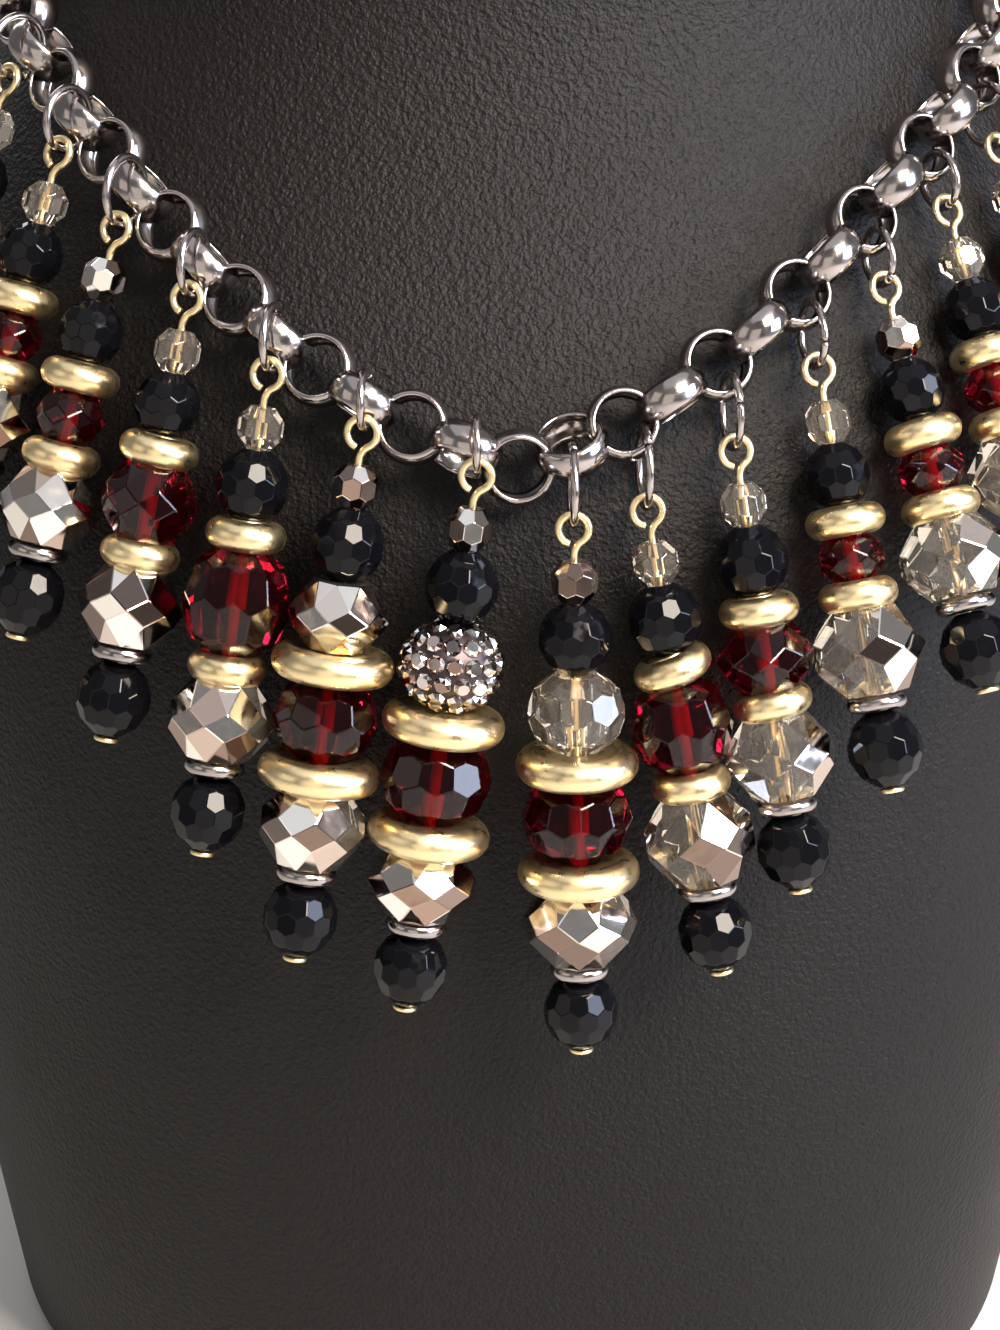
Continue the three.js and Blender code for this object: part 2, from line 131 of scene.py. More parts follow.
# The drops from left to right.
DROPS = [
    drop_row("clear", "coated", 10, (7, 5), (10.4, 7.6), BLACK_MID),
    drop_row("clear", "coated", 25, (7, 5), (10.4, 7.6), BLACK_MID),
    drop_row("coated", "coated", 5, (7.2, 5.6), (10.6, 7.8), BLACK_MID),
    drop_row("clear", "coated", 35, (10, 8), (10.8, 8), BLACK_MID),
    drop_row("clear", "half", 15, (11.4, 11), (11.2, 8)),
    drop_row("coated", "half", 40, (11, 8.4), (11.2, 8.2), disc=WIDE_DISC, upper=[("rondelle", 10.2, 7)]),
    drop_row("coated", "coated", 20, (11.6, 8.8), (11.4, 7.4), disc=WIDE_DISC,
             upper=[("pave_ball", 10.4, 9)]),
    drop_row("half", "half", 0, (11.8, 8.6), (11.8, 8.2), disc=WIDE_DISC, upper=[("rondelle", 10.2, 8)]),
    # painted_glint rondelles carry the mirror coat only on the facets that face the key light, as a painted
    # glint.
    drop_row("clear", "painted_glint", 30, (10.8, 9.6), (11.8, 9)),
    drop_row("clear", "painted_glint", 12, (10, 6.8), (11.4, 8.4)),
    drop_row("clear", "painted_glint", 28, (7, 4.8), (11.8, 8.8), BLACK_MID),
    drop_row("half", "painted_glint", 18, (7.2, 4.8), (11.6, 8), BLACK_MID),
    drop_row("clear", "painted_glint", 3, (7.2, 4.8), (11.6, 8), BLACK_MID),
    drop_row("clear", "clear", 22, (7, 4.8), (10.8, 7.6), BLACK_MID),
    drop_row("clear", "clear", 38, (7, 4.8), (10.4, 7.6), BLACK_MID),
]
RING_RADII = {3: 3.4, 6: 2.7, 7: 2.6, 8: 3.8, 9: 3.8, 10: 3.6, 12: 2.7, 13: 2.7}  # those unlike the rest
RING_EASE = 0.22  # added to every ring's radius, to clear links wider than the construction model's
LOOSE_DROPS = (7, 8, 9)  # drops, counted from the left, whose beads are each a node of their own
TILTED_DISCS = {(9, 3): 13, (10, 5): 5, (4, 3): -4, (12, 3): 3}  # drop, place in its stack: degrees askew
UPPER_RONDELLE = {6: "coated", 8: "clear"}  # finish of a second rondelle, near the top of its drop


# ------------------------------------------------------------------ mesh making

SHARP_ANGLE = 12  # degrees between two faces, past which their edge is worn round


def part(points, corners, sizes, material=0, smooth=False):
    """Points, the corners of each face in turn and each face's corner count, as one part of a mesh."""
    sizes = np.asarray(sizes, int)
    return dict(points=np.asarray(points, float).reshape(-1, 3), corners=np.asarray(corners, int).ravel(),
                sizes=sizes, material=np.broadcast_to(material, sizes.shape), smooth=smooth)


def grid_faces(rows, columns, wrap_rows):
    """Corners of the four-sided faces of a grid of points whose columns, and maybe rows, join up."""
    r = np.arange(rows if wrap_rows else rows - 1)[:, None]
    c = np.arange(columns)[None, :]
    next_r, next_c = (r + 1) % rows, (c + 1) % columns
    return np.stack(np.broadcast_arrays(r * columns + c, r * columns + next_c, next_r * columns + next_c,
                                        next_r * columns + c), -1).reshape(-1, 4)


def grid_part(points, wrap_rows=False, caps=False, material=0):
    """A smooth surface through a grid of points (rows, columns, 3); caps closes its first and last rows."""
    rows, columns = points.shape[:2]
    corners = grid_faces(rows, columns, wrap_rows).ravel()
    sizes = np.full(len(corners) // 4, 4)
    if caps:
        first = np.arange(columns)[::-1]
        last = (rows - 1) * columns + np.arange(columns)
        corners = np.concatenate([corners, first, last])
        sizes = np.concatenate([sizes, [columns, columns]])
    return part(points, corners, sizes, material, smooth=True)


def moved(piece, origin, basis):
    """A part carried from its own axes to a place: each point is origin plus its x, y, z along the basis."""
    return dict(piece, points=np.asarray(origin) + piece["points"] @ np.asarray(basis))


def build(name, parts, materials, node, edge=0.0):
    """Joins parts, in millimetres, into one mesh object in metres that stands for a construction node.

    materials are names that finish_of knows. edge is the width in millimetres to which the sharp edges are
    worn round. The attribute facet is a number from 0 to 1 that differs from face to face.
    """
    starts = np.cumsum([0] + [len(p["points"]) for p in parts])
    points = np.concatenate([p["points"] for p in parts]) * MM
    corners = np.concatenate([p["corners"] + start for p, start in zip(parts, starts)])
    used, corners = np.unique(corners, return_inverse=True)
    points = points[used]
    sizes = np.concatenate([p["sizes"] for p in parts])
    mesh = bpy.data.meshes.new(name)
    mesh.vertices.add(len(points))
    mesh.vertices.foreach_set("co", points.ravel())
    mesh.loops.add(len(corners))
    mesh.loops.foreach_set("vertex_index", corners)
    mesh.polygons.add(len(sizes))
    mesh.polygons.foreach_set("loop_start", np.concatenate([[0], np.cumsum(sizes)[:-1]]))
    mesh.polygons.foreach_set("loop_total", sizes)
    mesh.polygons.foreach_set("material_index", np.concatenate([p["material"] for p in parts]))
    smooth = np.concatenate([np.full(len(p["sizes"]), p["smooth"]) for p in parts])
    mesh.polygons.foreach_set("use_smooth", smooth)
    for material in materials:
        mesh.materials.append(finish_of(material))
    facet = mesh.attributes.new("facet", "FLOAT", "FACE")
    facet.data.foreach_set("value", np.random.default_rng(sum(map(ord, name))).random(len(sizes)))
    mesh.update(calc_edges=True)
    mesh.validate()
    piece = bpy.data.objects.new(name, mesh)
    bpy.context.scene.collection.objects.link(piece)
    if edge:
        bevel = piece.modifiers.new("worn_edges", "BEVEL")
        bevel.width = edge * MM
        bevel.segments = 1
        bevel.limit_method = "ANGLE"
        bevel.angle_limit = np.radians(SHARP_ANGLE)
    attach(piece, "root")
    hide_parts(node)


def unit(vector):
    """Vectors scaled to length one along the last axis."""
    return vector / np.linalg.norm(vector, axis=-1, keepdims=True)


# ------------------------------------------------------------------ shapes

def turned(profile, around, closed=True, material=0):
    """A profile of (radius, height) turned about Z: point = (r cos a, r sin a, h) over a full circle of a."""
    profile = np.asarray(profile, float)
    angle = 2 * np.pi * np.arange(around) / around
    points = np.stack(np.broadcast_arrays(profile[:, :1] * np.cos(angle), profile[:, :1] * np.sin(angle),
                                          profile[:, 1:]), -1)
    return grid_part(points, wrap_rows=closed, caps=not closed, material=material)


def swept(path, normal, radius, around):
    """A round wire along a flat path: a circle of the radius in the plane of the flat's normal and the
    direction that is square to both the path and the normal."""
    side = unit(np.cross(normal, unit(np.gradient(path, axis=0))))
    angle = 2 * np.pi * np.arange(around) / around
    points = (path[:, None] + radius * np.cos(angle)[None, :, None] * side[:, None]
              + radius * np.sin(angle)[None, :, None] * np.asarray(normal, float))
    return grid_part(points, caps=True)


def rim_profile(half, rim, steps):
    """Half a circle of the rim's radius on the outside, from the lower flat to the upper one: (r, h)."""
    angle = np.linspace(-np.pi / 2, np.pi / 2, steps)
    return np.stack([half - rim + rim * np.cos(angle), rim * np.sin(angle)], -1)


def end_flats(points, ring_low, ring_high, around, bore, height):
    """Flat ends and a bore: the lowest and highest rings of points join to circles of the bore's radius,
    which stand at half the height below and above the middle and join to each other."""
    angle = np.pi * (2 * np.arange(around) + 1) / around
    circle = bore * np.stack([np.cos(angle), np.sin(angle)], -1)
    low = np.column_stack([circle, np.full(around, -height / 2)])
    high = np.column_stack([circle, np.full(around, height / 2)])
    start = len(points)
    inner_low = start + np.arange(around)
    inner_high = start + around + np.arange(around)
    step = np.roll(np.arange(around), -1)
    top = np.stack([ring_high, ring_high[step], inner_high[step], inner_high], -1)
    bottom = np.stack([ring_low[step], ring_low, inner_low, inner_low[step]], -1)
    wall = np.stack([inner_low[step], inner_low, inner_high, inner_high[step]], -1)
    return np.concatenate([points, low, high]), np.concatenate([top, bottom, wall])


def diamond_cut(width, height, around, table, bore=0.6, spin=0.0, coated=None):
    """Bead tiled with kite facets: rows of points at -2..2, each turned half a step from the last.

    The radius of rows 0, 1 and 2 is 1, cos a and the table's share, a being half a step, times a radius that
    gives the outline the bead's width on average. Row 1 stands where the line from row 0's point through the
    middle of its two neighbours in row 1 meets row 2, so that every kite is flat. coated is as in spun.
    """
    half_step = np.pi / around
    ratio = np.array([table, np.cos(half_step), 1.0, np.cos(half_step), table])
    reach = (1 - table) / np.sin(half_step) ** 2
    level = np.array([-1, -1 / reach, 0, 1 / reach, 1]) * height / 2
    places = np.arange(around)
    shift = np.array([0, 1, 0, 1, 0])[:, None]
    angle = (2 * places[None, :] + shift + 1) * half_step
    radius = ratio[:, None] * width / (1 + np.cos(half_step))
    points = np.stack([radius * np.cos(angle), radius * np.sin(angle),
                       np.broadcast_to(level[:, None], angle.shape)], -1).reshape(-1, 3)

    def at(row, step):
        return row * around + (places + step) % around

    kites = [np.stack([at(0, 1), at(1, 1), at(2, 1), at(1, 0)], -1),
             np.stack([at(1, 0), at(2, 1), at(3, 0), at(2, 0)], -1),
             np.stack([at(2, 1), at(3, 1), at(4, 1), at(3, 0)], -1)]
    ends = [np.stack([at(0, 0), at(0, 1), at(1, 0)], -1), np.stack([at(4, 1), at(4, 0), at(3, 0)], -1)]
    points, flats = end_flats(points, at(0, 0), at(4, 0), around, bore, height)
    corners = np.concatenate([np.concatenate(kites).ravel(), flats.ravel(), np.concatenate(ends).ravel()])
    sizes = np.array([4] * (6 * around) + [3] * (2 * around))
    return spun(part(points, corners, sizes), spin, coated, 3 * around, 6 * around)


def honeycomb_cut(width, height, around, rows, table, bore=0.6, spin=0.0, coated=None):
    """Bead tiled with six-sided facets, each the plane that touches a ball at its row's latitude.

    Between two rows the facets meet at points that solve both rows' planes: one over the middle of the
    lower facet and one under the middle of the upper. The ball is cut flat at the table's height and then
    stretched to the bead's width and height. rows are the latitudes in degrees; coated is as in spun.
    """
    half_step = np.pi / around
    latitude = np.radians(rows)
    c, s = np.cos(latitude), np.sin(latitude)
    k = np.cos(half_step)

    def meet(a1, b1, a2, b2):
        """r and z of a1 r + b1 z = 1 and a2 r + b2 z = 1."""
        d = a1 * b2 - a2 * b1
        return np.stack([(b2 - b1) / d, (a1 - a2) / d], -1)

    over = meet(c[:-1], s[:-1], k * c[1:], s[1:])
    under = meet(k * c[:-1], s[:-1], c[1:], s[1:])
    last = len(rows) - 1
    top = np.array([(1 - table * s[-1]) / (k * c[-1]), table])
    bottom = np.array([(1 + table * s[0]) / (k * c[0]), -table])
    places = np.arange(2 * around)
    belts = [np.broadcast_to(bottom, (2 * around, 2))]
    belts += [np.where(((places + j) % 2 == 0)[:, None], over[j], under[j]) for j in range(last)]
    belts += [np.broadcast_to(top, (2 * around, 2))]
    belts = np.array(belts)
    stretch = 1.0 / belts[..., 0].max()
    angle = places * half_step
    points = np.stack([belts[..., 0] * stretch * np.cos(angle) * width / 2,
                       belts[..., 0] * stretch * np.sin(angle) * width / 2,
                       belts[..., 1] / table * height / 2], -1).reshape(-1, 3)
    faces, sizes = [], []
    for j in range(len(rows)):
        m = np.arange(j % 2, 2 * around, 2)
        low, high = j * 2 * around, (j + 1) * 2 * around
        before, after = (m - 1) % (2 * around), (m + 1) % (2 * around)
        ring = [low + before] + ([low + m] if j > 0 else []) + [low + after, high + after]
        ring += ([high + m] if j < last else []) + [high + before]
        faces.append(np.stack(ring, -1).ravel())
        sizes += [len(ring)] * around
    outer = len(sizes)
    foot = np.arange(1, 2 * around, 2)
    crown = (last + 1) * 2 * around + np.arange((last + 1) % 2, 2 * around, 2)
    points, flats = end_flats(points, foot, crown, around, bore, height)
    corners = np.concatenate(faces + [flats.ravel()])
    return spun(part(points, corners, sizes + [4] * (3 * around)), spin, coated, outer, outer + 3 * around)


def spun(piece, spin, coated, facets, wall_end):
    """Turns a bead on its pin by spin degrees and gives the facets on its coated side material 1.

    coated is None or (x, y, least): a facet is on that side if the x and y of its middle, times those two and
    added, come to more than least. The faces from number facets to wall_end are flats and bore, never coated.
    """
    turn = np.radians(spin)
    basis = [(np.cos(turn), np.sin(turn), 0), (-np.sin(turn), np.cos(turn), 0), (0, 0, 1)]
    piece = moved(piece, (0, 0, 0), basis)
    if coated is None:
        return piece
    ends = np.cumsum(piece["sizes"])
    sums = np.add.reduceat(piece["points"][piece["corners"]], np.concatenate([[0], ends[:-1]]), axis=0)
    middle = sums / piece["sizes"][:, None]
    outside = np.ones(len(ends), bool)
    outside[facets:wall_end] = False
    direction = middle[:, :2] @ np.array(coated[:2])
    piece["material"] = (outside & (direction > coated[2])).astype(int)
    return piece


def ground_bore(piece):
    """Gives the wall of a bead's hole material 1. The wall is four-sided faces whose corners all lie nearest
    the axis."""
    ends = np.cumsum(piece["sizes"])
    reach = np.linalg.norm(piece["points"][piece["corners"]][:, :2], axis=1)
    widest = np.maximum.reduceat(reach, np.concatenate([[0], ends[:-1]]))
    return dict(piece, material=(widest < widest.min() * 1.01).astype(int))


# ------------------------------------------------------------------ materials

def add_node(tree, kind, settings=None, **links):
    """Adds a node. settings are its own properties or input values by name; links feed inputs by name."""
    node = tree.nodes.new(kind)
    for key, value in (settings or {}).items():
        if hasattr(node, key):
            setattr(node, key, value)
        else:
            node.inputs[key].default_value = value
    for key, source in links.items():
        tree.links.new(source, node.inputs[key.replace("_", " ")])
    return node


def new_material(name, settings):
    """An empty node material: its tree, its Principled shader with those values, and object coordinates."""
    material = bpy.data.materials.new(name)
    material.use_nodes = True
    tree = material.node_tree
    tree.nodes.clear()
    shader = add_node(tree, "ShaderNodeBsdfPrincipled", settings)
    add_node(tree, "ShaderNodeOutputMaterial", Surface=shader.outputs[0])
    place = add_node(tree, "ShaderNodeTexCoord").outputs["Object"]
    return material, tree, shader, place


def pattern(tree, place, size_mm, kind="ShaderNodeTexNoise", output="Fac", **settings):
    """A texture whose features are about size_mm wide, read on object coordinates."""
    return add_node(tree, kind, dict(Scale=1 / (size_mm * MM), **settings), Vector=place).outputs[output]


def mottled(tree, shader, factor, colour, share):
    """Colours the shader: from a colour to a share of it, no lighter than white, as the factor rises."""
    mix = add_node(tree, "ShaderNodeMix", dict(data_type="RGBA"))
    mix.inputs[6].default_value = tuple(colour)
    mix.inputs[7].default_value = (*[min(1.0, share * v) for v in tuple(colour)[:3]], 1)
    tree.links.new(factor, mix.inputs[0])
    tree.links.new(mix.outputs[2], shader.inputs["Base Color"])


def coloured_by_facet(tree, shader, stops):
    """Colours each face by its own number: stops are the positions and colours of a ramp."""
    facet = add_node(tree, "ShaderNodeAttribute", dict(attribute_name="facet"))
    ramp = add_node(tree, "ShaderNodeValToRGB", Fac=facet.outputs["Fac"])
    while len(ramp.color_ramp.elements) < len(stops):
        ramp.color_ramp.elements.new(1.0)
    for element, (position, colour) in zip(ramp.color_ramp.elements, stops):
        element.position = position
        element.color = colour
    tree.links.new(ramp.outputs[0], shader.inputs["Base Color"])


def roughened(tree, shader, noise, low, high, noise_range=(0.3, 0.7)):
    """Lets the roughness wander from low to high as a noise goes through its range."""
    ends = zip(("From Min", "From Max", "To Min", "To Max"), (*noise_range, low, high))
    rough = add_node(tree, "ShaderNodeMapRange", dict(ends), Value=noise)
    tree.links.new(rough.outputs[0], shader.inputs["Roughness"])


def bumped(tree, shader, height, depth_mm):
    """Feeds a bump of that depth to the shader's normal."""
    bump = add_node(tree, "ShaderNodeBump", dict(Strength=1.0, Distance=depth_mm * MM), Height=height)
    tree.links.new(bump.outputs[0], shader.inputs["Normal"])


def leatherette(colours):
    """Polyurethane leatherette, embossed with a pebble grain and calendered to a low satin sheen. The grain
    is drawn a little coarser than the real half millimetre, so that it shows."""
    material, tree, shader, place = new_material("black_leatherette", {"Specular IOR Level": 0.2})
    cells = pattern(tree, place, 0.6, "ShaderNodeTexVoronoi", "Distance", feature="SMOOTH_F1")
    pores = pattern(tree, place, 0.3, Detail=3.0)
    height = add_node(tree, "ShaderNodeMath", dict(operation="ADD"))
    tree.links.new(cells, height.inputs[0])
    tree.links.new(pores, height.inputs[1])
    grain = add_node(tree, "ShaderNodeMapRange", {"From Min": 0.1, "From Max": 0.7}, Value=cells)
    mottled(tree, shader, grain.outputs[0], colours.leatherette, 0.72)
    roughened(tree, shader, pattern(tree, place, 30.0, Detail=2.0), 0.42, 0.58, (0.0, 1.0))
    bumped(tree, shader, height.outputs[0], 0.22)
    return material


def felt(colours):
    """Needled wool felt glued over the ends of the bust: no gloss, only the dull fuzz of short fibres."""
    material, tree, shader, place = new_material("black_felt", {"Specular IOR Level": 0.03})
    fuzz = pattern(tree, place, 0.5, Detail=4.0)
    mottled(tree, shader, fuzz, colours.felt, 1.8)
    roughened(tree, shader, fuzz, 0.9, 1.0, (0.0, 1.0))
    bumped(tree, shader, fuzz, 0.15)
    return material


def plated(name, colour, low, high, ripple):
    """Electroplated base metal, tumbled bright: it mirrors, softly or sharply by its roughness from low to
    high, with a slow ripple and faint handling marks."""
    material, tree, shader, place = new_material(name, {"Metallic": 1.0, "Base Color": tuple(colour)})
    roughened(tree, shader, pattern(tree, place, 1.1, Detail=4.0), low, high)
    bumped(tree, shader, pattern(tree, place, 2.2, Detail=1.0), ripple)
    return material


def glass(name, colour, ior, clear, gloss, patch_mm, detail, low, high):
    """Cut lead-free glass, fire-polished on every facet: clear glass bends what lies behind it, and black
    glass is very dark and bright only where a facet mirrors.

    clear is the share of light that goes through: the rest is scattered in the glass, so that its colour
    still shows on a dark ground. gloss is the shader's specular level. patch_mm is the width of the wipe
    marks, where the roughness goes from low to high.
    """
    material, tree, shader, place = new_material(name, {
        "Base Color": tuple(colour), "IOR": ior, "Transmission Weight": clear, "Specular IOR Level": gloss})
    roughened(tree, shader, pattern(tree, place, patch_mm, Detail=detail), low, high, (0.35, 0.75))
    return material


def ground_glass(name, colour):
    """Glass left rough by the drill on the wall of a bead's hole: it scatters light and so looks paler."""
    material, tree, shader, place = new_material(name, {"Roughness": 0.6})
    mottled(tree, shader, pattern(tree, place, 0.25, Detail=2.0), colour, 1.6)
    return material


def metal_film_with_painted_reflections(name, stops, patch_mm, detail, low, high):
    """Vacuum-laid metal film on the face of a cut bead or the back of a cut stone: a mirror whose base colour
    is set facet by facet from a ramp of dark to pale tones, so that each facet carries a painted reflection
    over what it really mirrors."""
    material, tree, shader, place = new_material(name, {"Metallic": 1.0})
    coloured_by_facet(tree, shader, stops)
    roughened(tree, shader, pattern(tree, place, patch_mm, Detail=detail), low, high)
    return material


def painted_board(colours):
    """Matt painted board under the bust: pale, with a faint unevenness of the paint."""
    material, tree, shader, place = new_material("matt_board", {"Roughness": 0.8})
    mottled(tree, shader, pattern(tree, place, 60.0, Detail=2.0), colours.floor, 0.97)
    return material


MATERIALS = {}


def finish_of(name):
    """The material of that name, made the first time it is asked for."""
    colours = bpy.context.scene.necklace_colours
    # The coat's ramp paints a reflection on each facet: dark, warm or pale by the facet's own number. The
    # pale end is the film's own silver.
    coat = [(0.0, colours.coat_dark_painted_reflection), (0.3, colours.coat_warm_painted_reflection), (0.75, colours.coat)]

    # A stone's foil is painted facet by facet from the darker tone, through its own, to pure white. These are
    # painted reflections, and the pure white facets are painted glints.
    def stone(name, dark, bright):
        return metal_film_with_painted_reflections(name, [(0.0, dark), (0.4, bright), (0.85, (1, 1, 1, 1))], 0.8, 2.0, 0.03, 0.12)

    # The numbers stand in the order of each function's parameters.
    makers = {
        "leatherette": lambda: leatherette(colours),
        "felt": lambda: felt(colours),
        "gunmetal": lambda: plated("gunmetal_plate", colours.gunmetal, 0.10, 0.26, 0.05),
        "gold_plate": lambda: plated("gold_plate", colours.gold, 0.25, 0.38, 0.016),
        "jet": lambda: glass("jet_glass", colours.jet, 1.52, 0, 0.17, 1.2, 3.0, 0.02, 0.09),
        "garnet": lambda: glass("garnet_glass", colours.garnet, 1.4, 0.98, 0.12, 1.6, 2.0, 0, 0.03),
        "garnet_bore": lambda: ground_glass("ground_garnet_glass", colours.garnet_bore),
        "crystal": lambda: glass("crystal_glass", colours.crystal, 1.58, 0.97, 0.5, 1.6, 2.0, 0, 0.02),
        "coat": lambda: metal_film_with_painted_reflections("mirror_coat_and_painted_reflections", coat, 1.4, 3.0, 0.04, 0.13),
        "rhinestone": lambda: stone("rhinestone_foiled_glass", colours.smoky, colours.rhinestone),
        "smoky_rhinestone": lambda: stone("smoky_rhinestone_foiled_glass", colours.clay, colours.smoky),
        # Epoxy clay filled with metal powder shines like plate, only more dully and unevenly.
        "clay": lambda: plated("dark_setting_clay", colours.clay, 0.35, 0.55, 0.1),
        "board": lambda: painted_board(colours),
    }
    if name not in MATERIALS:
        MATERIALS[name] = makers[name]()
    return MATERIALS[name]


# ------------------------------------------------------------------ the bust's form and the chain's route

def smooth_rows(table, at):
    """Hermite curves through a table's columns against its first, with slopes from the neighbouring rows."""
    x, y = table[:, 0], table[:, 1:]
    ends = np.clip(np.arange(len(x))[:, None] + [-1, 1], 0, len(x) - 1)
    slope = (y[ends[:, 1]] - y[ends[:, 0]]) / (x[ends[:, 1]] - x[ends[:, 0]])[:, None]
    at = np.asarray(at, float)
    i = np.clip(np.searchsorted(x, at, side="right") - 1, 0, len(x) - 2)
    span = (x[i + 1] - x[i])[..., None]
    t = (at[..., None] - x[i][..., None]) / span
    return (y[i] + t * t * (3 - 2 * t) * (y[i + 1] - y[i]) + t * (1 - t) ** 2 * span * slope[i]
            - t * t * (1 - t) * span * slope[i + 1])


def bust_point(turn, height):
    """Point of the bust: a superellipse of the section at that height, turn in radians from the front."""
    turn, height = np.broadcast_arrays(np.asarray(turn, float), np.asarray(height, float))
    half, front, back, power = np.moveaxis(smooth_rows(BUST_SECTIONS, height), -1, 0)
    side, ahead = np.sin(turn), np.cos(turn)
    reach = np.where(ahead > 0, front, back)
    radius = (np.abs(side / half) ** power + np.abs(ahead / reach) ** power) ** (-1 / power)
    return np.stack([radius * side, -radius * ahead, height], -1)


def bust_normal(turn, height):
    """Outward normal: square to the lines between points a small turn and a small rise apart both ways."""
    small_turn, small_rise = 0.01, 0.5
    across = bust_point(turn + small_turn, height) - bust_point(turn - small_turn, height)
    upward = bust_point(turn, height + small_rise) - bust_point(turn, height - small_rise)
    return unit(np.cross(across, upward))


ROUTE_POINTS = 1441  # one every quarter of a degree


def chain_places():
    """Place, tangent, bust normal and roll of every link, at equal lengths round the closed route."""
    turn = np.linspace(-np.pi, np.pi, ROUTE_POINTS)
    height = smooth_rows(CHAIN_ROUTE, np.degrees(np.abs(turn)))[:, 0]
    normal = bust_normal(turn, height)
    line = bust_point(turn, height) + CHAIN_STANDOFF * normal
    length = np.concatenate([[0], np.cumsum(np.linalg.norm(np.diff(line, axis=0), axis=1))])
    pitch = length[-1] / LINK_COUNT
    link = np.arange(1 - LINK_COUNT // 2, LINK_COUNT // 2 - CLASP_PLACES + 1)

    def along(distance):
        wanted = np.mod(distance + length[-1] / 2, length[-1])
        pick = np.clip(np.searchsorted(length, wanted), 1, len(length) - 1)
        share = ((wanted - length[pick - 1]) / (length[pick] - length[pick - 1]))[:, None]
        return (line[pick - 1] + share * (line[pick] - line[pick - 1]), unit(line[pick] - line[pick - 1]),
                unit(normal[pick - 1] + share * (normal[pick] - normal[pick - 1])))

    roll = np.radians(90 * (link + 1) + np.array([LOOSE_ROLLS.get(int(k), 0) for k in link]))
    return (*along(CHAIN_START + (link + 1) * pitch), roll)


# ------------------------------------------------------------------ what the construction model says

def node_points(name):
    """The distinct points of a construction node, in millimetres."""
    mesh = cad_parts[name].data
    points = np.empty(len(mesh.vertices) * 3)
    mesh.vertices.foreach_get("co", points)
    return np.unique(np.round(points.reshape(-1, 3) / MM, 3), axis=0)


def principal(points):
    """Centre of some points and their directions of least to greatest spread."""
    centre = points.mean(0)
    _, directions = np.linalg.eigh(np.cov((points - centre).T))
    return centre, directions.T


def ring_place(number):
    """Centre and axis of a drop's jump ring."""
    centre, directions = principal(node_points(f"jump_ring_{number:02d}"))
    return centre, directions[0]


def drop_place(number):
    """Eye centre and basis of a drop: x sideways, y into the bust, z up along its pin; then its depths."""
    ring, ring_axis = ring_place(number)
    points = node_points(pin_node(number))
    centre, directions = principal(points)
    up = directions[2]
    if (ring - centre) @ up < 0:
        up = -up
    places, end = stack_places(DROPS[number - 1]["stack"])
    lowest = ((points - centre) @ up).min()
    eye = centre + up * (lowest + end + HEAD_HEIGHT)
    facing = unit(np.cross(ring_axis, up))
    if facing @ np.array([eye[0], eye[1], 0]) < 0:
        facing = -facing
    inward = -facing
    return eye, np.array([np.cross(inward, up), inward, up]), places, end


def pin_node(number):
    """The construction node that holds a drop's pin: its own where the drop's beads are loose."""
    return f"pin_{number:02d}" if number in LOOSE_DROPS else f"drop_{number:02d}"


def stack_places(stack):
    """Depth of each bead's middle below the eye, and of the pin's end."""
    heights = np.array([row[2] for row in stack], float)
    tops = EYE_TO_BEAD - heights[0] / 2 + np.concatenate([[0], np.cumsum(heights + BEAD_GAP)])
    return tops[:-1] + heights / 2, tops[-1]


def each_bead(kind):
    """Every bead of a kind: drop number, place in the stack, middle, basis, width and height."""
    for number, drop in enumerate(DROPS, 1):
        eye, basis, places, _ = drop_place(number)
        for order, (name, width, height) in enumerate(drop["stack"], 1):
            if name == kind:
                middle = eye - basis[2] * places[order - 1]
                yield number, order, middle, basis, width, height + BEAD_GAP * GAP_TAKEN


def build_beads(kind, make, materials, edge=0.0):
    """Builds each drop's beads of one kind; beads that are nodes of their own stay separate pieces."""
    groups = {}
    for number, order, middle, basis, width, height in each_bead(kind):
        bead = [moved(shape, middle, basis) for shape in make(number, order, width, height)]
        if number in LOOSE_DROPS:
            key, node = f"{kind}_{number:02d}_{order}_made", f"{kind}_{number:02d}_{order}"
        else:
            key, node = f"drop_{number:02d}_{kind}", f"drop_{number:02d}"
        groups.setdefault((key, node), []).extend(bead)
    for (key, node), shapes in groups.items():
        build(key, shapes, materials, node, edge)


# ------------------------------------------------------------------ properties

class NecklaceSizes(bpy.types.PropertyGroup):
    """Sizes that a user would change, in millimetres."""
    link_outer: FloatProperty(name="Link radius", description="Outer radius of a chain link", default=4.0)
    link_width: FloatProperty(name="Link width", description="Width of a link's domed band", default=3.5)
    link_wall: FloatProperty(name="Link wall", description="Thickness of a link's band", default=0.38)
    link_dome: FloatProperty(name="Link dome", description="Rise of the band's middle", default=0.65)
    ring_radius: FloatProperty(name="Jump ring radius", description="To the wire's middle", default=3.1)
    ring_wire: FloatProperty(name="Jump ring wire", description="Radius of its wire", default=0.43)
    pin_wire: FloatProperty(name="Head pin wire", description="Radius of its wire", default=0.4)
    stone: FloatProperty(name="Rhinestone", description="Width of a stone in the paved ball", default=1.95)
    jet_facets: IntProperty(name="Jet facets", description="Facets round a black bead", default=12)
    crystal_facets: IntProperty(name="Crystal facets", description="Facets round a rondelle", default=8)


def colour_property(name, hex_colour, description):
    """A colour with its default given as an sRGB hex value."""
    return FloatVectorProperty(name=name, description=description, subtype="COLOR", size=4, min=0, max=1,
                               default=linear(hex_colour))


